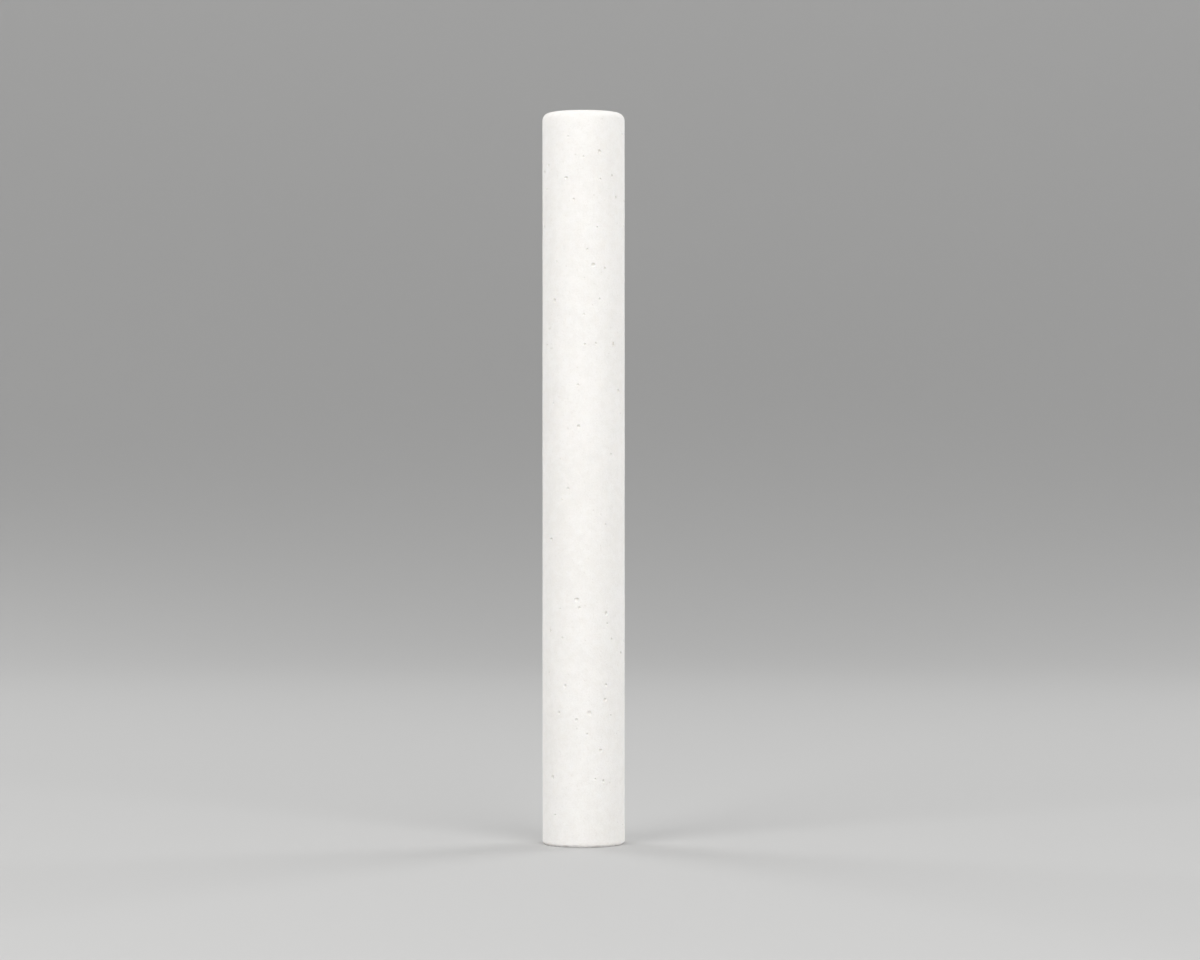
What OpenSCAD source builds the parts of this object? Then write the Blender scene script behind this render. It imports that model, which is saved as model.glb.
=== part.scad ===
// Blackboard chalk stick: one round casting of set gypsum, with no core, wrapper or sleeve.
// It stands on its foot, the flat face struck off level with the open end of its mould. The closed
// end of the mould gives the head its rounded rim. The barrel between them is parallel.
// Origin: the centre of the foot. +Z runs up the axis to the head. Millimetres.

/* [Barrel] */
// Diameter of the barrel, which a holder or a board compass grips
barrel_d = 9; // [7:0.1:14]
// Length overall, from the foot to the top of the head
stick_l = 80; // [40:1:120]

/* [Head] */
// Radius rolled round the rim of the head by the closed end of the mould
head_rim_r = 0.8; // [0.2:0.1:3]

/* [Foot] */
// Height of the worn bevel round the struck edge of the foot
foot_bevel_h = 0.25; // [0.05:0.05:1]
// Width that the same bevel takes off the radius of the foot
foot_bevel_w = 0.15; // [0.05:0.05:1]

/* [Hidden] */
$fn = 96;

barrel_r = barrel_d / 2;
foot_r = barrel_r - foot_bevel_w;
head_flat_r = barrel_r - head_rim_r;
shoulder_z = stick_l - head_rim_r;

// Bevelled foot: the cone that the struck edge wears to.
module foot_half() {
    polygon([
        [0, 0],
        [foot_r, 0],
        [barrel_r, foot_bevel_h],
        [0, foot_bevel_h],
    ]);
}

// Parallel barrel, from the bevel of the foot up to the shoulder under the head.
module barrel_half() {
    translate([0, foot_bevel_h])
        square([barrel_r, shoulder_z - foot_bevel_h]);
}

// Head: a flat top with a quarter round rolled over its rim.
module head_half() {
    translate([0, shoulder_z])
        square([head_flat_r, head_rim_r]);
    translate([head_flat_r, shoulder_z])
        intersection() {
            circle(r = head_rim_r);
            square(head_rim_r);
        }
}

// The stick is one casting, so its three lengths are one half section turned about the axis.
module chalk_stick() {
    color("#f4f1ea")
        rotate_extrude()
            union() {
                foot_half();
                barrel_half();
                head_half();
            }
}

chalk_stick();
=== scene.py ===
"""Dresses one round stick of blackboard chalk and lights it in a plain pale studio.

The stick is one casting of set gypsum. It stands on its struck foot at the origin, with its axis up
+Z and its rolled head on top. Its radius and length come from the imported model. Lengths are in
metres throughout.
"""

import logging
import math
import random
from collections.abc import Callable
from dataclasses import dataclass, field
from enum import IntEnum, StrEnum
from typing import ClassVar

import bmesh
import bpy
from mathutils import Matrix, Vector, kdtree, noise


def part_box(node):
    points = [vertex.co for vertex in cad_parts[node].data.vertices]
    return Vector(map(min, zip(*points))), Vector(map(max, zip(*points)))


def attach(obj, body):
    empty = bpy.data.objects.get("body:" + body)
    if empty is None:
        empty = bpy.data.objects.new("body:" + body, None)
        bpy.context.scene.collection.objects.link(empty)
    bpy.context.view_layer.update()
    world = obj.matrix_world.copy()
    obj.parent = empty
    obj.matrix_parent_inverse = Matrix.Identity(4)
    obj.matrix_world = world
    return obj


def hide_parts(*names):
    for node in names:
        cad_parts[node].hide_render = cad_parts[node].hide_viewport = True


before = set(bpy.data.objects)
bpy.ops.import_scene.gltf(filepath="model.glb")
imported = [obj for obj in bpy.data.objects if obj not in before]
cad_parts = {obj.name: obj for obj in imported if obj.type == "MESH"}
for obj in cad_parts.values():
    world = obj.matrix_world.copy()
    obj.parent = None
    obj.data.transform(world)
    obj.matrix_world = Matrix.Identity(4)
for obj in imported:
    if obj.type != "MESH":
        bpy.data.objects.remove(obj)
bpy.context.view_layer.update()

log = logging.getLogger("chalk_stick")

MM = 0.001
FULL_TURN = 2 * math.pi
QUARTER_TURN = math.pi / 2
UP = Vector((0, 0, 1))
# Share of a pinhole's full depth at each vertex; the finishes use it to paint shade into the pits.
PINHOLE_DEPTH = "pinhole_depth"


class Surface(IntEnum):
    """The two surfaces of the casting, in the order of its material slots."""

    CAST = 0
    STRUCK = 1


class Socket(StrEnum):
    """The kinds of socket that a node group has."""

    VALUE = "NodeSocketFloat"
    VECTOR = "NodeSocketVector"
    COLOUR = "NodeSocketColor"


# Sizes --------------------------------------------------------------------------------------------


@dataclass(frozen=True)
class StickSizes:
    """Outer form of the stick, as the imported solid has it."""

    radius: float
    length: float
    head_rim_r: float = 0.8 * MM
    foot_bevel_h: float = 0.25 * MM
    foot_bevel_w: float = 0.15 * MM

    @classmethod
    def from_frame(cls, node: str) -> "StickSizes":
        """Reads the barrel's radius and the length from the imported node.

        Args:
            node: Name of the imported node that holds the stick.

        Returns:
            The sizes of the stick.
        """
        low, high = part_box(node)
        return cls(radius=(high.y - low.y) / 2, length=high.z - low.z)

    @property
    def foot_r(self) -> float:
        """Radius of the flat that the stick stands on."""
        return self.radius - self.foot_bevel_w

    @property
    def head_flat_r(self) -> float:
        """Radius of the flat inside the rolled rim of the head."""
        return self.radius - self.head_rim_r

    @property
    def shoulder_z(self) -> float:
        """Height where the barrel ends and the rim of the head begins."""
        return self.length - self.head_rim_r


@dataclass(frozen=True)
class Facets:
    """How finely the casting is divided before its pinholes are sunk."""

    around: int = 120
    ring_pitch: float = 0.4 * MM
    end_pitch: float = 0.15 * MM
    upright_from: float = 0.5
    rim_steps: int = 10
    edge_steps: int = 2
    edge_wear: float = 0.05 * MM
    weld: float = 0.001 * MM


@dataclass(frozen=True)
class Pinhole:
    """One bubble of air that was open to the mould and left a small pit."""

    LIP_WANDER: ClassVar[float] = 0.16
    LIP_WAVES: ClassVar[float] = 0.8
    BOWL_POWER: ClassVar[float] = 0.6

    centre: Vector
    inward: Vector
    radius: float
    depth: float

    def sink_at(self, point: Vector) -> float:
        """Finds how full the pit's depth is at a point.

        Args:
            point: A point on the unbroken surface.

        Returns:
            A share from 0 at or past the lip to 1 at the bottom.
        """
        away = point - self.centre
        seen_at = away * (self.LIP_WAVES / self.radius) + self.centre / MM
        lip_r = self.radius * (1 + self.LIP_WANDER * noise.noise(seen_at))
        share = away.length / lip_r
        return (1 - share * share) ** self.BOWL_POWER if share < 1 else 0.0


@dataclass(frozen=True)
class PinholeScatter:
    """Where the bubbles lie: thin over the barrel and head, thicker over the open, struck foot."""

    seed: int = 41
    on_barrel: int = 150
    on_head: int = 4
    on_foot: int = 16
    spacing: float = 0.9 * MM
    least_r: float = 0.11 * MM
    extra_r: float = 0.12 * MM
    rarity: float = 2.5
    depths: tuple[float, float] = (0.7, 1.0)
    margin: float = 0.55 * MM

    def over(self, sizes: StickSizes) -> list[Pinhole]:
        """Scatters the pinholes over the whole stick.

        Args:
            sizes: The stick's sizes.

        Returns:
            Every pinhole, none nearer to another than the spacing.
        """
        draw = random.Random(self.seed)
        found: list[Pinhole] = []
        for count, spot in (
            (self.on_barrel, lambda: self._barrel_spot(draw, sizes)),
            (self.on_head, lambda: self._end_spot(draw, sizes.head_flat_r, sizes.length, -UP)),
            (self.on_foot, lambda: self._end_spot(draw, sizes.foot_r, 0.0, UP)),
        ):
            for _ in range(count):
                self._add(found, draw, spot)
        return found

    def _add(
        self, found: list[Pinhole], draw: random.Random, spot: Callable[[], tuple[Vector, Vector]]
    ) -> None:
        """Draws spots until one is clear of the others, and adds a pinhole there.

        Args:
            found: The pinholes so far, which gains one.
            draw: The seeded source of random numbers.
            spot: Gives a place and the direction into the chalk.
        """
        while True:
            centre, inward = spot()
            if all((centre - other.centre).length > self.spacing for other in found):
                break
        radius = self.least_r + self.extra_r * draw.random() ** self.rarity
        found.append(Pinhole(centre, inward, radius, radius * draw.uniform(*self.depths)))

    def _barrel_spot(self, draw: random.Random, sizes: StickSizes) -> tuple[Vector, Vector]:
        """Draws a spot on the barrel.

        Args:
            draw: The seeded source of random numbers.
            sizes: The stick's sizes.

        Returns:
            The spot, and the direction from it into the chalk.
        """
        angle = draw.uniform(0, FULL_TURN)
        outward = Vector((math.cos(angle), math.sin(angle), 0))
        height = draw.uniform(sizes.foot_bevel_h + self.margin, sizes.shoulder_z - self.margin)
        return outward * sizes.radius + UP * height, -outward

    def _end_spot(
        self, draw: random.Random, flat_r: float, height: float, inward: Vector
    ) -> tuple[Vector, Vector]:
        """Draws a spot on one of the flat ends.

        Args:
            draw: The seeded source of random numbers.
            flat_r: Radius of the flat.
            height: Height of the flat.
            inward: Direction into the chalk.

        Returns:
            The spot, and the direction from it into the chalk.
        """
        angle = draw.uniform(0, FULL_TURN)
        out = (flat_r - self.margin) * math.sqrt(draw.random())
        return Vector((out * math.cos(angle), out * math.sin(angle), height)), inward


@dataclass
class PinholeMap:
    """All the pinholes, with a tree that finds the one nearest to a point."""

    pinholes: list[Pinhole]
    tree: kdtree.KDTree = field(init=False)

    def __post_init__(self) -> None:
        """Fills the tree and balances it."""
        self.tree = kdtree.KDTree(len(self.pinholes))
        for index, pinhole in enumerate(self.pinholes):
            self.tree.insert(pinhole.centre, index)
        self.tree.balance()

    def nearest(self, point: Vector) -> tuple[Pinhole, float]:
        """Finds the pinhole nearest to a point.

        Args:
            point: A point on the unbroken surface.

        Returns:
            The pinhole, and how far its centre is from the point.
        """
        _, index, apart = self.tree.find(point)
        return self.pinholes[index], apart


@dataclass(frozen=True)
class Unevenness:
    """How far the casting departs from a true round, as its mould and a few knocks leave it."""

    swell: float = 0.022 * MM
    swell_pitch: float = 9 * MM
    ripple: float = 0.008 * MM
    ripple_pitch: float = 2.2 * MM
    crumble: float = 0.09 * MM
    crumble_pitch: float = 0.8 * MM
    crumble_reach: float = 0.3 * MM
    crumble_everywhere: float = 0.35
    struck_relief: float = 0.05 * MM
    struck_pitch: float = 0.5 * MM

    def barrel(self, point: Vector) -> float:
        """Gives the barrel's swell and ripple at a point, as a length outwards."""
        swell = self.swell * noise.noise(point / self.swell_pitch)
        return swell + self.ripple * noise.noise(point / self.ripple_pitch)

    def foot_edge(self, point: Vector, edge_r: float) -> float:
        """Gives what has crumbled off the edge of the foot.

        Args:
            point: A point near the foot.
            edge_r: Radius of the foot's flat.

        Returns:
            A length to take off, 0 or more.
        """
        apart = math.hypot(math.hypot(point.x, point.y) - edge_r, point.z)
        near = max(0.0, 1 - apart / self.crumble_reach)
        broken = self.crumble_everywhere + noise.noise(point / self.crumble_pitch)
        return self.crumble * near * max(0.0, broken)

    def struck_face(self, point: Vector) -> float:
        """Gives the relief of the struck face at a point, as a height of 0 or more."""
        return self.struck_relief * max(0.0, noise.noise(point / self.struck_pitch))


# Meshes -------------------------------------------------------------------------------------------


@dataclass
class HalfSection:
    """Half of a round form's section: a wire drawn on from the origin, then turned about +Z."""

    bm: bmesh.types.BMesh = field(default_factory=bmesh.new)
    tip: bmesh.types.BMVert = field(init=False)

    def __post_init__(self) -> None:
        """Starts the wire at the origin."""
        self.tip = bmesh.ops.create_vert(self.bm, co=(0, 0, 0))["vert"][0]

    def line(self, out: float, up: float) -> None:
        """Draws the wire straight on to its next corner.

        Args:
            out: The corner's distance from the axis.
            up: The corner's height.
        """
        drawn = bmesh.ops.extrude_vert_indiv(self.bm, verts=[self.tip])["verts"][0]
        bmesh.ops.translate(self.bm, verts=[drawn], vec=Vector((out, 0, up)) - drawn.co)
        self.tip = drawn

    def arc(self, out: float, up: float, angle: float, steps: int) -> None:
        """Draws the wire on through an arc, which turns from outwards to upwards.

        Args:
            out: Distance of the arc's centre from the axis.
            up: Height of the arc's centre.
            angle: How far the arc turns.
            steps: How many chords it has.
        """
        swept = bmesh.ops.spin(
            self.bm,
            geom=[self.tip],
            cent=(out, 0, up),
            axis=(0, -1, 0),
            angle=angle,
            steps=steps,
        )["geom_last"]
        self.tip = next(part for part in swept if isinstance(part, bmesh.types.BMVert))

    def divide(self, longest: Callable[[bmesh.types.BMEdge], float]) -> None:
        """Halves the steps of the wire until each is short enough.

        Args:
            longest: Gives the longest that a step may be.
        """
        while coarse := [edge for edge in self.bm.edges if edge.calc_length() > longest(edge)]:
            bmesh.ops.subdivide_edges(self.bm, edges=coarse, cuts=1)

    def turn(self, steps: int, weld: float) -> bmesh.types.BMesh:
        """Turns the wire about the upright axis, and closes the seam and the poles.

        Args:
            steps: How many steps the full turn has.
            weld: How near two points are to be one.

        Returns:
            The turned mesh.
        """
        bmesh.ops.spin(
            self.bm,
            geom=self.bm.verts[:] + self.bm.edges[:],
            cent=(0, 0, 0),
            axis=UP,
            angle=FULL_TURN,
            steps=steps,
            use_merge=True,
        )
        bmesh.ops.remove_doubles(self.bm, verts=self.bm.verts[:], dist=weld)
        bmesh.ops.recalc_face_normals(self.bm, faces=self.bm.faces[:])
        return self.bm


def add_object(name: str, data: bpy.types.ID) -> bpy.types.Object:
    """Adds a mesh, a lamp or a camera to the scene.

    Args:
        name: The object's name.
        data: What the object holds.

    Returns:
        The object.
    """
    added = bpy.data.objects.new(name, data)
    bpy.context.scene.collection.objects.link(added)
    return added


def add_mesh(
    name: str, bm: bmesh.types.BMesh, materials: list[bpy.types.Material]
) -> bpy.types.Object:
    """Shades a finished mesh smooth and adds it to the scene.

    Args:
        name: Name of the mesh and its object.
        bm: The finished mesh, which is freed.
        materials: One for each material slot.

    Returns:
        The object, at the origin.
    """
    for face in bm.faces:
        face.smooth = True
    mesh = bpy.data.meshes.new(name)
    bm.to_mesh(mesh)
    bm.free()
    for material in materials:
        mesh.materials.append(material)
    return add_object(name, mesh)


# Shader node groups -------------------------------------------------------------------------------


@dataclass(frozen=True)
class Octaves:
    """How a noise is built up: how many octaves it has, and how much the finer ones weigh."""

    count: float
    weight: float


@dataclass
class Wiring:
    """Adds nodes to one shader tree and links them."""

    tree: bpy.types.NodeTree

    def add(self, kind: str, settings: dict | None = None, **inputs: object) -> bpy.types.Node:
        """Adds a node.

        Args:
            kind: The node's type.
            settings: The node's own options.
            inputs: A value or a socket for each input, with _ for a space in its name.

        Returns:
            The new node.
        """
        node = self.tree.nodes.new(kind)
        for name, value in (settings or {}).items():
            setattr(node, name, value)
        for name, value in inputs.items():
            self.feed(node.inputs[name.replace("_", " ")], value)
        return node

    def feed(self, socket: bpy.types.NodeSocket, value: object) -> None:
        """Links a socket to an input, or sets the input's own value.

        Args:
            socket: The input.
            value: A socket, a number, or a tuple.
        """
        if isinstance(value, bpy.types.NodeSocket):
            self.tree.links.new(value, socket)
        else:
            socket.default_value = value

    def maths(self, operation: str, *values: object) -> bpy.types.NodeSocket:
        """Adds a Math node.

        Args:
            operation: What it works out.
            values: Its operands, in order.

        Returns:
            Its result.
        """
        node = self.add("ShaderNodeMath", {"operation": operation})
        for socket, value in zip(node.inputs, values):
            self.feed(socket, value)
        return node.outputs[0]

    def stretch(self, value: object, low: float, high: float) -> bpy.types.NodeSocket:
        """Maps low to 0 and high to 1 smoothly.

        Args:
            value: What is mapped.
            low: The value that gives 0.
            high: The value that gives 1.

        Returns:
            The mapped value.
        """
        node = self.add(
            "ShaderNodeMapRange",
            {"interpolation_type": "SMOOTHSTEP"},
            Value=value,
            From_Min=low,
            From_Max=high,
        )
        return node.outputs[0]

    def blend(self, share: object, first: object, second: object) -> bpy.types.NodeSocket:
        """Mixes two colours.

        Args:
            share: How much of the second shows, from 0 to 1.
            first: The colour at 0.
            second: The colour at 1.

        Returns:
            The mixed colour.
        """
        node = self.add("ShaderNodeMix", {"data_type": "RGBA"})
        sockets = {socket.identifier: socket for socket in (*node.inputs, *node.outputs)}
        self.feed(sockets["Factor_Float"], share)
        self.feed(sockets["A_Color"], first)
        self.feed(sockets["B_Color"], second)
        return sockets["Result_Color"]

    def noise(self, point: object, scale: object, octaves: Octaves) -> bpy.types.NodeSocket:
        """Adds a Noise Texture.

        Args:
            point: Where it is read.
            scale: Features to the metre.
            octaves: How it is built up.

        Returns:
            A value round 0.5.
        """
        node = self.add(
            "ShaderNodeTexNoise",
            Vector=point,
            Scale=scale,
            Detail=octaves.count,
            Roughness=octaves.weight,
        )
        return node.outputs["Fac"]


class Effect:
    """A node group that both finishes use. A subclass names its sockets and draws its nodes."""

    title: ClassVar[str]
    takes: ClassVar[dict[str, Socket]]
    gives: ClassVar[dict[str, Socket]]

    @classmethod
    def tree(cls) -> bpy.types.NodeTree:
        """Builds the group the first time it is asked for.

        Returns:
            The group.
        """
        made = bpy.data.node_groups.get(cls.title)
        if made is not None:
            return made
        made = bpy.data.node_groups.new(cls.title, "ShaderNodeTree")
        for way, sockets in (("INPUT", cls.takes), ("OUTPUT", cls.gives)):
            for name, kind in sockets.items():
                made.interface.new_socket(name, in_out=way, socket_type=kind)
        wires = Wiring(made)
        inside = wires.add("NodeGroupInput").outputs
        results = cls.draw(wires, inside)
        out = wires.add("NodeGroupOutput")
        for name, socket in results.items():
            wires.feed(out.inputs[name], socket)
        return made

    @classmethod
    def draw(cls, wires: Wiring, inside: bpy.types.NodeOutputs) -> dict[str, bpy.types.NodeSocket]:
        """Draws the group's nodes. Each effect has its own.

        Args:
            wires: The group's wiring.
            inside: The group's inputs.

        Returns:
            A socket for each name in gives.
        """
        raise NotImplementedError

    @classmethod
    def place(cls, wires: Wiring, **inputs: object) -> bpy.types.NodeOutputs:
        """Places the group in a material.

        Args:
            wires: The material's wiring.
            inputs: A value or a socket for each input, with _ for a space in its name.

        Returns:
            The group's outputs.
        """
        return wires.add("ShaderNodeGroup", {"node_tree": cls.tree()}, **inputs).outputs


class PowderGrain(Effect):
    """Fine crystals and packed powder: a fine grain, and soft lumps of a few grains each."""

    title = "powder_grain"
    takes = {"Point": Socket.VECTOR, "Grain": Socket.VALUE, "Coarse": Socket.VALUE}
    gives = {"Height": Socket.VALUE, "PeakHighlight": Socket.VALUE, "Gap": Socket.VALUE}
    GRAINS_IN_A_LUMP = 4.5
    FINE = Octaves(5.0, 0.74)
    LUMPS = Octaves(2.0, 0.5)
    # band of the fine grain's peaks, which are painted lighter as painted highlight
    PEAK_BAND = (0.56, 0.70)
    GAP_BAND = (0.46, 0.32)

    @classmethod
    def draw(cls, wires: Wiring, inside: bpy.types.NodeOutputs) -> dict[str, bpy.types.NodeSocket]:
        """Adds a fine and a coarse noise, and picks out the tops and the gaps of the fine one.

        Args:
            wires: The group's wiring.
            inside: The group's inputs.

        Returns:
            Height, a mask of the fine grain's peaks, which the finishes paint lighter as painted
            highlight, and a mask of the gaps between grains, which they paint darker as painted
            shade.
        """
        fine_scale = wires.maths("DIVIDE", 1.0, inside["Grain"])
        coarse_scale = wires.maths("DIVIDE", fine_scale, cls.GRAINS_IN_A_LUMP)
        fine = wires.noise(inside["Point"], fine_scale, cls.FINE)
        coarse = wires.noise(inside["Point"], coarse_scale, cls.LUMPS)
        return {
            "Height": wires.maths("MULTIPLY_ADD", coarse, inside["Coarse"], fine),
            "PeakHighlight": wires.stretch(fine, *cls.PEAK_BAND),
            "Gap": wires.stretch(fine, *cls.GAP_BAND),
        }


class DragMarks(Effect):
    """Faint lines along one direction, from the mould's wall or the edge that struck the foot."""

    title = "drag_marks"
    takes = {"Point": Socket.VECTOR, "Pitch": Socket.VALUE}
    gives = {"Height": Socket.VALUE, "Rub": Socket.VALUE}
    LINES = Octaves(2.5, 0.55)
    RUB_BAND = (0.56, 0.78)

    @classmethod
    def draw(cls, wires: Wiring, inside: bpy.types.NodeOutputs) -> dict[str, bpy.types.NodeSocket]:
        """Reads a noise on points that the material has already drawn out along the marks.

        Args:
            wires: The group's wiring.
            inside: The group's inputs.

        Returns:
            Height from 0 to 1, and a mask of the most rubbed lines.
        """
        scale = wires.maths("DIVIDE", 1.0, inside["Pitch"])
        lines = wires.noise(inside["Point"], scale, cls.LINES)
        return {"Height": lines, "Rub": wires.stretch(lines, *cls.RUB_BAND)}


class GypsumTone(Effect):
    """The slight drift of white over a casting: broad patches, and a finer cloud inside them."""

    title = "gypsum_tone"
    takes = {
        "Point": Socket.VECTOR,
        "Patch": Socket.VALUE,
        "White": Socket.COLOUR,
        "Shade": Socket.COLOUR,
    }
    gives = {"Color": Socket.COLOUR}
    BROAD = Octaves(2.0, 0.5)
    CLOUD = Octaves(3.0, 0.6)
    CLOUDS_IN_A_PATCH = 7.0
    CLOUD_WEIGHT = 0.6
    SHADE_BAND = (0.36, 0.64)

    @classmethod
    def draw(cls, wires: Wiring, inside: bpy.types.NodeOutputs) -> dict[str, bpy.types.NodeSocket]:
        """Mixes the two whites by a broad and a fine noise.

        Args:
            wires: The group's wiring.
            inside: The group's inputs.

        Returns:
            The mixed colour.
        """
        broad_scale = wires.maths("DIVIDE", 1.0, inside["Patch"])
        cloud_scale = wires.maths("MULTIPLY", broad_scale, cls.CLOUDS_IN_A_PATCH)
        broad = wires.noise(inside["Point"], broad_scale, cls.BROAD)
        cloud = wires.noise(inside["Point"], cloud_scale, cls.CLOUD)
        base = wires.maths("MULTIPLY", broad, 1 - cls.CLOUD_WEIGHT)
        both = wires.maths("MULTIPLY_ADD", cloud, cls.CLOUD_WEIGHT, base)
        shaded = wires.stretch(both, *cls.SHADE_BAND)
        return {"Color": wires.blend(shaded, inside["White"], inside["Shade"])}


class PinPricks(Effect):
    """Bubbles too small to be sunk in the mesh: round dots, thinly and unevenly spread."""

    title = "pin_pricks"
    takes = {
        "Point": Socket.VECTOR,
        "Spacing": Socket.VALUE,
        "Size": Socket.VALUE,
        "Share": Socket.VALUE,
    }
    gives = {"Hole": Socket.VALUE}
    LIP_BAND = (0.1, 1.0)

    @classmethod
    def draw(cls, wires: Wiring, inside: bpy.types.NodeOutputs) -> dict[str, bpy.types.NodeSocket]:
        """Takes the cells of a Voronoi texture, and keeps a dot in some of them.

        Args:
            wires: The group's wiring.
            inside: The group's inputs.

        Returns:
            A mask that is 1 in the middle of each dot.
        """
        scale = wires.maths("DIVIDE", 1.0, inside["Spacing"])
        cells = wires.add("ShaderNodeTexVoronoi", Vector=inside["Point"], Scale=scale)
        apart = wires.maths("DIVIDE", cells.outputs["Distance"], inside["Size"])
        dot = wires.maths("SUBTRACT", 1.0, wires.stretch(apart, *cls.LIP_BAND))
        chance = wires.add("ShaderNodeSeparateColor", Color=cells.outputs["Color"]).outputs[0]
        kept = wires.maths("LESS_THAN", chance, inside["Share"])
        return {"Hole": wires.maths("MULTIPLY", dot, kept)}


# Finishes -----------------------------------------------------------------------------------------


@dataclass(frozen=True)
class GypsumFinish:
    """Dead matt set gypsum. The cast skin and the struck face differ in their values alone."""

    title: str
    white: tuple[float, float, float, float]
    shade: tuple[float, float, float, float]
    # painted shade: the darker colour laid into the grain's gaps, the pin pricks and the pinholes,
    # where shade falls
    painted_shade_colour: tuple[float, float, float, float] = (0.74, 0.712, 0.677, 1)
    # painted highlight: the lighter colour laid on the peaks of the fine grain
    painted_highlight_colour: tuple[float, float, float, float] = (0.93, 0.923, 0.91, 1)
    patch: float = 6 * MM
    grain: float = 0.2 * MM
    coarse: float = 0.5
    grain_height: float = 0.03 * MM
    # painted highlight on the grain's peaks
    peak_painted_highlight: float = 0.5
    # painted shade in the gaps between grains
    gap_shade: float = 0.38
    mark_stretch: tuple[float, float, float] = (1, 1, 0.03)
    mark_turn: tuple[float, float, float] = (0, 0, 0)
    mark_pitch: float = 0.5 * MM
    mark_height: float = 0.01 * MM
    mark_rub: float = 0.12
    prick_spacing: float = 0.9 * MM
    prick_size: float = 0.16
    prick_share: float = 0.22
    prick_depth: float = 0.03 * MM
    # painted shade in the pin pricks
    prick_shade: float = 0.35
    # painted shade in the sunk pinholes, deepest at their bottoms
    hollow_shade: float = 0.4
    roughness: float = 0.93
    rub_roughness: float = 0.8
    powder_roughness: float = 0.35
    specular: float = 0.22
    glow: float = 0.12
    glow_reach: float = 0.35 * MM
    glow_tint: tuple[float, float, float] = (1.0, 0.85, 0.7)
    dust: float = 0.06
    dust_roughness: float = 0.7

    def material(self) -> bpy.types.Material:
        """Builds the finish.

        Returns:
            The material.
        """
        made = bpy.data.materials.new(self.title)
        made.use_nodes = True
        made.node_tree.nodes.clear()
        wires = Wiring(made.node_tree)
        point = wires.add("ShaderNodeTexCoord").outputs["Object"]
        grain = PowderGrain.place(wires, Point=point, Grain=self.grain, Coarse=self.coarse)
        marks = self._marks(wires, point)
        pricks = PinPricks.place(
            wires,
            Point=point,
            Spacing=self.prick_spacing,
            Size=self.prick_size,
            Share=self.prick_share,
        )
        rubbed = wires.add(
            "ShaderNodeMapRange",
            Value=marks["Rub"],
            To_Min=self.roughness,
            To_Max=self.rub_roughness,
        )
        skin = wires.add(
            "ShaderNodeBsdfPrincipled",
            Base_Color=self._colour(wires, point, grain, marks, pricks),
            Roughness=rubbed.outputs[0],
            Normal=self._relief(wires, grain, marks, pricks),
            Diffuse_Roughness=self.powder_roughness,
            Specular_IOR_Level=self.specular,
            Subsurface_Weight=self.glow,
            Subsurface_Radius=self.glow_tint,
            Subsurface_Scale=self.glow_reach,
            Sheen_Weight=self.dust,
            Sheen_Roughness=self.dust_roughness,
        )
        out = wires.add("ShaderNodeOutputMaterial")
        wires.feed(out.inputs["Surface"], skin.outputs[0])
        return made

    def _marks(self, wires: Wiring, point: bpy.types.NodeSocket) -> bpy.types.NodeOutputs:
        """Places the drag marks, drawn out along their own direction.

        Args:
            wires: The material's wiring.
            point: The point on the piece.

        Returns:
            The outputs of the drag marks.
        """
        along = wires.add(
            "ShaderNodeMapping", Vector=point, Rotation=self.mark_turn, Scale=self.mark_stretch
        )
        return DragMarks.place(wires, Point=along.outputs[0], Pitch=self.mark_pitch)

    def _colour(
        self,
        wires: Wiring,
        point: bpy.types.NodeSocket,
        grain: bpy.types.NodeOutputs,
        marks: bpy.types.NodeOutputs,
        pricks: bpy.types.NodeOutputs,
    ) -> bpy.types.NodeSocket:
        """Tints the drifting white: whiter along the rubbed drag marks, painted shade in the
        grain's gaps, in the pin pricks and in the pinholes, and painted highlight on the grain's
        peaks.

        Args:
            wires: The material's wiring.
            point: The point on the piece.
            grain: Outputs of the powder grain.
            marks: Outputs of the drag marks.
            pricks: Outputs of the pin pricks.

        Returns:
            The colour that the shader takes.
        """
        pinhole = wires.add("ShaderNodeAttribute", {"attribute_name": PINHOLE_DEPTH}).outputs["Fac"]
        tone = GypsumTone.place(
            wires, Point=point, Patch=self.patch, White=self.white, Shade=self.shade
        )
        colour = tone["Color"]
        for mask, strength, tint in (
            (marks["Rub"], self.mark_rub, self.white),
            # painted shade in the low gaps of the grain
            (grain["Gap"], self.gap_shade, self.painted_shade_colour),
            # painted highlight on the peaks of the grain
            (grain["PeakHighlight"], self.peak_painted_highlight, self.painted_highlight_colour),
            # painted shade in the pin pricks
            (pricks["Hole"], self.prick_shade, self.painted_shade_colour),
            # painted shade in the sunk pinholes, by their depth
            (pinhole, self.hollow_shade, self.painted_shade_colour),
        ):
            colour = wires.blend(wires.maths("MULTIPLY", mask, strength), colour, tint)
        return colour

    def _relief(
        self,
        wires: Wiring,
        grain: bpy.types.NodeOutputs,
        marks: bpy.types.NodeOutputs,
        pricks: bpy.types.NodeOutputs,
    ) -> bpy.types.NodeSocket:
        """Lays the grain over the marks, and the marks over the pricks.

        Args:
            wires: The material's wiring.
            grain: Outputs of the powder grain.
            marks: Outputs of the drag marks.
            pricks: Outputs of the pin pricks.

        Returns:
            The normal that the shader takes.
        """
        bump = "ShaderNodeBump"
        holes = wires.add(bump, {"invert": True}, Height=pricks["Hole"], Distance=self.prick_depth)
        lines = wires.add(
            bump, Height=marks["Height"], Distance=self.mark_height, Normal=holes.outputs[0]
        )
        fine = wires.add(
            bump, Height=grain["Height"], Distance=self.grain_height, Normal=lines.outputs[0]
        )
        return fine.outputs[0]


CAST_SKIN = GypsumFinish(
    title="cast_gypsum_skin",
    white=(0.887, 0.874, 0.855, 1),
    shade=(0.852, 0.836, 0.812, 1),
)

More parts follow.
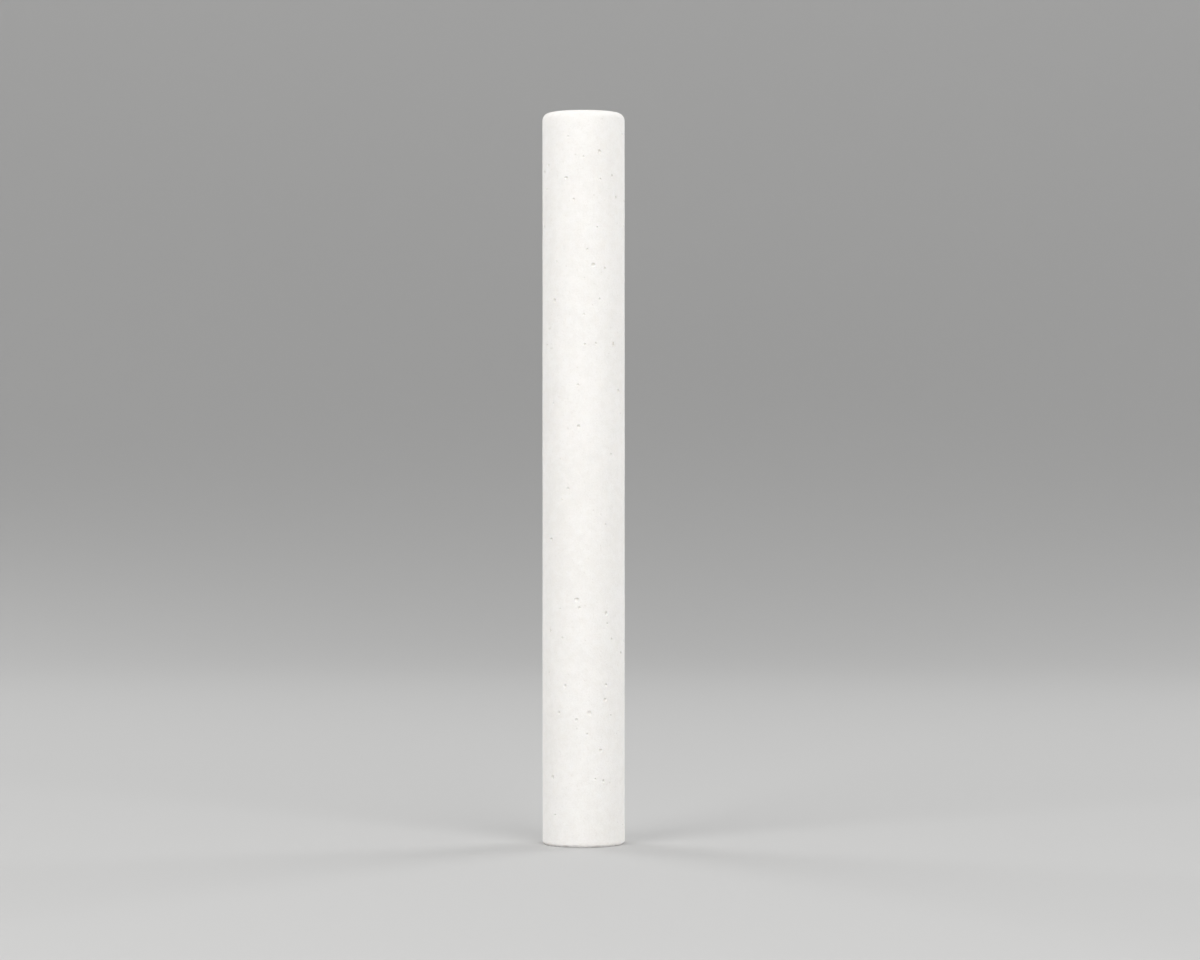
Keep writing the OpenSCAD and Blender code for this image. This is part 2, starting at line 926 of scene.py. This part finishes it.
STRUCK_FACE = GypsumFinish(
    title="struck_gypsum_face",
    white=(0.873, 0.859, 0.837, 1),
    shade=(0.811, 0.793, 0.765, 1),
    patch=1.6 * MM,
    grain=0.22 * MM,
    coarse=0.9,
    grain_height=0.06 * MM,
    mark_stretch=(0.05, 1, 1),
    mark_turn=(0, 0, math.radians(24)),
    mark_pitch=0.3 * MM,
    mark_height=0.03 * MM,
    prick_spacing=0.55 * MM,
    prick_share=0.6,
)

FINISHES = {Surface.CAST: CAST_SKIN, Surface.STRUCK: STRUCK_FACE}


# The stick ----------------------------------------------------------------------------------------


@dataclass
class ChalkStick:
    """The one piece: a round stick of chalk, cast whole."""

    sizes: StickSizes
    facets: Facets = field(default_factory=Facets)
    scatter: PinholeScatter = field(default_factory=PinholeScatter)
    unevenness: Unevenness = field(default_factory=Unevenness)
    refine_reaches: tuple[float, ...] = (0.26 * MM, 0.13 * MM, 0.05 * MM)
    name: str = "stick_casting"

    def build(self) -> bpy.types.Object:
        """Models the stick and dresses it.

        Returns:
            The finished object, at the origin.
        """
        bm = self._half_section().turn(self.facets.around, self.facets.weld)
        self._wear_foot_edges(bm)
        self._mark_struck_face(bm)
        pinholes = PinholeMap(self.scatter.over(self.sizes))
        self._refine_near(bm, pinholes)
        self._shape(bm, pinholes)
        return add_mesh(self.name, bm, [FINISHES[surface].material() for surface in Surface])

    def _half_section(self) -> HalfSection:
        """Draws the stick's half section, from the middle of the foot to that of the head.

        Returns:
            The half section, divided finely enough to be shaped.
        """
        sizes = self.sizes
        half = HalfSection()
        half.line(sizes.foot_r, 0)
        half.line(sizes.radius, sizes.foot_bevel_h)
        half.line(sizes.radius, sizes.shoulder_z)
        half.arc(sizes.head_flat_r, sizes.shoulder_z, QUARTER_TURN, self.facets.rim_steps)
        half.line(0, sizes.length)
        half.divide(self._pitch_at)
        return half

    def _pitch_at(self, edge: bmesh.types.BMEdge) -> float:
        """Gives the longest step allowed on a line: finer where it crosses an end of the stick."""
        rise = abs((edge.verts[0].co - edge.verts[1].co).normalized().z)
        return self.facets.ring_pitch if rise > self.facets.upright_from else self.facets.end_pitch

    def _wear_foot_edges(self, bm: bmesh.types.BMesh) -> None:
        """Rounds both edges of the foot's bevel a little.

        Args:
            bm: The turned mesh.
        """
        corners = ((self.sizes.foot_r, 0.0), (self.sizes.radius, self.sizes.foot_bevel_h))
        rings = [
            edge for edge in bm.edges if any(self._runs_round(edge, corner) for corner in corners)
        ]
        bmesh.ops.bevel(
            bm,
            geom=rings,
            offset=self.facets.edge_wear,
            segments=self.facets.edge_steps,
            profile=0.5,
            affect="EDGES",
            material=-1,
        )

    def _runs_round(self, edge: bmesh.types.BMEdge, corner: tuple[float, float]) -> bool:
        """Says whether an edge runs round the stick at one corner of its half section.

        Args:
            edge: An edge of the turned mesh.
            corner: The corner's distance from the axis, and its height.

        Returns:
            Whether both ends of the edge lie there.
        """
        out, up = corner
        weld = self.facets.weld
        return all(
            abs(math.hypot(vert.co.x, vert.co.y) - out) < weld and abs(vert.co.z - up) < weld
            for vert in edge.verts
        )

    def _mark_struck_face(self, bm: bmesh.types.BMesh) -> None:
        """Gives the foot's flat and its bevel the struck finish.

        Args:
            bm: The turned mesh.
        """
        for face in bm.faces:
            struck = face.calc_center_median().z < self.sizes.foot_bevel_h
            face.material_index = Surface.STRUCK if struck else Surface.CAST

    def _refine_near(self, bm: bmesh.types.BMesh, pinholes: PinholeMap) -> None:
        """Divides the mesh where pinholes will be sunk, in passes that close in on each.

        Args:
            bm: The mesh.
            pinholes: The pinholes.
        """
        for reach in self.refine_reaches:
            near = []
            for edge in bm.edges:
                pinhole, apart = pinholes.nearest((edge.verts[0].co + edge.verts[1].co) / 2)
                if apart < pinhole.radius + reach:
                    near.append(edge)
            bmesh.ops.subdivide_edges(bm, edges=near, cuts=1, use_grid_fill=True)

    def _shape(self, bm: bmesh.types.BMesh, pinholes: PinholeMap) -> None:
        """Brings every vertex to the uneven surface, and sinks the pinholes.

        Args:
            bm: The refined mesh.
            pinholes: The pinholes.
        """
        depth_layer = bm.verts.layers.float.new(PINHOLE_DEPTH)
        for vert in bm.verts:
            pinhole, _ = pinholes.nearest(vert.co)
            share = pinhole.sink_at(vert.co)
            # the depth share is kept, and the finishes paint shade into the pits from it
            vert[depth_layer] = share
            place = self._uneven(self._round(vert.co))
            vert.co = place + pinhole.inward * (pinhole.depth * share)

    def _round(self, point: Vector) -> Vector:
        """Brings a point of the barrel that lies on a facet out to the true round.

        Args:
            point: A point of the mesh.

        Returns:
            The point on the round, or the same point off the barrel.
        """
        if not self.sizes.foot_bevel_h + self.facets.edge_wear < point.z < self.sizes.shoulder_z:
            return point
        out = self.sizes.radius / math.hypot(point.x, point.y)
        return Vector((point.x * out, point.y * out, point.z))

    def _uneven(self, point: Vector) -> Vector:
        """Applies the casting's unevenness to a point.

        Args:
            point: A point on the true form.

        Returns:
            The point on the real surface.
        """
        sizes, uneven = self.sizes, self.unevenness
        across = math.hypot(point.x, point.y)
        outward = Vector((point.x, point.y, 0)).normalized()
        share = min(1.0, across / sizes.radius)
        place = point + outward * (uneven.barrel(point) * share)
        lost = uneven.foot_edge(point, sizes.foot_r)
        place += (UP - outward).normalized() * lost
        if point.z < self.facets.weld:
            place.z += uneven.struck_face(point)
        return place


# The studio ---------------------------------------------------------------------------------------


@dataclass(frozen=True)
class Cove:
    """A round, seamless cove: a level floor that bends up all round, like a wide, shallow bowl."""

    floor_r: float = 0.36
    bend_r: float = 0.70
    bend: float = math.radians(70)
    around: int = 96
    bend_steps: int = 24
    weld: float = 0.01 * MM
    colour: tuple[float, float, float, float] = (0.55, 0.55, 0.548, 1)
    roughness: float = 0.9
    specular: float = 0.1

    def build(self) -> bpy.types.Object:
        """Turns the cove's half section, and gives it its paint.

        Returns:
            The cove.
        """
        half = HalfSection()
        half.line(self.floor_r, 0)
        half.arc(self.floor_r, self.bend_r, self.bend, self.bend_steps)
        bm = half.turn(self.around, self.weld)
        middle = UP * self.bend_r
        for face in bm.faces:
            if face.normal.dot(middle - face.calc_center_median()) < 0:
                face.normal_flip()
        cove = add_mesh("studio_cove", bm, [self._paint()])
        return cove

    def _paint(self) -> bpy.types.Material:
        """Mixes the cove's plain matt paint.

        Returns:
            The material.
        """
        made = bpy.data.materials.new("cove_paint")
        made.use_nodes = True
        shader = made.node_tree.nodes["Principled BSDF"]
        shader.inputs["Base Color"].default_value = self.colour
        shader.inputs["Roughness"].default_value = self.roughness
        shader.inputs["Specular IOR Level"].default_value = self.specular
        return made


@dataclass(frozen=True)
class Softbox:
    """A square area lamp behind a grid, aimed at the middle of the stick."""

    name: str
    place: tuple[float, float, float]
    side: float
    power: float
    colour: tuple[float, float, float]
    spread: float = math.radians(135)

    def hang(self, target: Vector) -> bpy.types.Object:
        """Hangs the lamp.

        Args:
            target: The point that it faces.

        Returns:
            The lamp.
        """
        lamp = bpy.data.lights.new(self.name, "AREA")
        lamp.shape = "SQUARE"
        lamp.size = self.side
        lamp.energy = self.power
        lamp.color = self.colour
        lamp.spread = self.spread
        hung = add_object(self.name, lamp)
        hung.location = self.place
        hung.rotation_euler = (target - hung.location).to_track_quat("-Z", "Y").to_euler()
        hung.visible_camera = False
        return hung


SOFTBOXES = (
    Softbox("key_softbox", (-0.28, -0.36, 0.29), 0.28, 0.56, (1.0, 0.994, 0.984)),
    Softbox("front_softbox", (0.20, -0.41, 0.26), 0.30, 0.61, (1.0, 0.997, 0.993)),
    Softbox("left_rear_softbox", (-0.38, 0.36, 0.31), 0.30, 0.58, (1.0, 0.998, 0.995)),
    Softbox("right_rear_softbox", (0.42, 0.30, 0.31), 0.30, 0.58, (1.0, 0.998, 0.995)),
)


@dataclass(frozen=True)
class Camera:
    """A long lens, level with the stick's middle and square to its axis."""

    frame_w_px: float = 1200.0
    frame_h_px: float = 960.0
    stick_x_px: float = 583.6
    stick_top_px: float = 113.5
    stick_foot_px: float = 843.5
    lens_mm: float = 105.0
    sensor_mm: float = 36.0
    clip: tuple[float, float] = (0.01, 10.0)

    def place(self, sizes: StickSizes) -> bpy.types.Object:
        """Places the camera so that the stick fills its share of the frame.

        Args:
            sizes: The stick's sizes.

        Returns:
            The camera.
        """
        metres_per_px = sizes.length / (self.stick_foot_px - self.stick_top_px)
        away = self.frame_w_px * metres_per_px * self.lens_mm / self.sensor_mm
        middle_px = (self.stick_foot_px + self.stick_top_px) / 2
        lens = bpy.data.cameras.new("camera")
        lens.lens = self.lens_mm
        lens.sensor_width = self.sensor_mm
        lens.clip_start, lens.clip_end = self.clip
        camera = add_object("camera", lens)
        camera.location = (
            (self.frame_w_px / 2 - self.stick_x_px) * metres_per_px,
            -away,
            sizes.length / 2 + (middle_px - self.frame_h_px / 2) * metres_per_px,
        )
        camera.rotation_euler = (QUARTER_TURN, 0, 0)
        bpy.context.scene.camera = camera
        return camera


@dataclass(frozen=True)
class Studio:
    """Cove, lamps, a bright room round them, and the camera."""

    sizes: StickSizes
    ambient: float = 1.6
    overhead: float = 0.12
    ambient_colour: tuple[float, float, float, float] = (1.0, 0.998, 0.993, 1)

    def build(self) -> list[bpy.types.Object]:
        """Sets the studio up round the stick.

        Returns:
            The cove, the lamps and the camera.
        """
        scene = bpy.context.scene
        scene.view_settings.view_transform = "Standard"
        scene.world = self._room()
        middle = UP * (self.sizes.length / 2)
        lamps = [box.hang(middle) for box in SOFTBOXES]
        return [Cove().build(), *lamps, Camera().place(self.sizes)]

    def _room(self) -> bpy.types.World:
        """Lights the room: bright all round, and darker towards the ceiling.

        Returns:
            The world.
        """
        room = bpy.data.worlds.new("room")
        room.use_nodes = True
        room.node_tree.nodes.clear()
        wires = Wiring(room.node_tree)
        toward = wires.add("ShaderNodeTexCoord").outputs["Generated"]
        height = wires.add("ShaderNodeSeparateXYZ", Vector=toward).outputs["Z"]
        strength = wires.add(
            "ShaderNodeMapRange", Value=height, To_Min=self.ambient, To_Max=self.overhead
        )
        light = wires.add(
            "ShaderNodeBackground", Color=self.ambient_colour, Strength=strength.outputs[0]
        )
        out = wires.add("ShaderNodeOutputWorld")
        wires.feed(out.inputs["Surface"], light.outputs[0])
        return room


def main() -> None:
    """Builds the stick, gives it to its body, and sets up the studio."""
    logging.basicConfig(level=logging.INFO, format="%(name)s: %(message)s")
    sizes = StickSizes.from_frame("chalk_stick")
    piece = ChalkStick(sizes).build()
    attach(piece, "root")
    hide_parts("chalk_stick")
    log.info("%s: one casting, %d faces", piece.name, len(piece.data.polygons))
    for stage in Studio(sizes).build():
        log.info("%s: in the studio", stage.name)


if __name__ == "__main__":
    main()
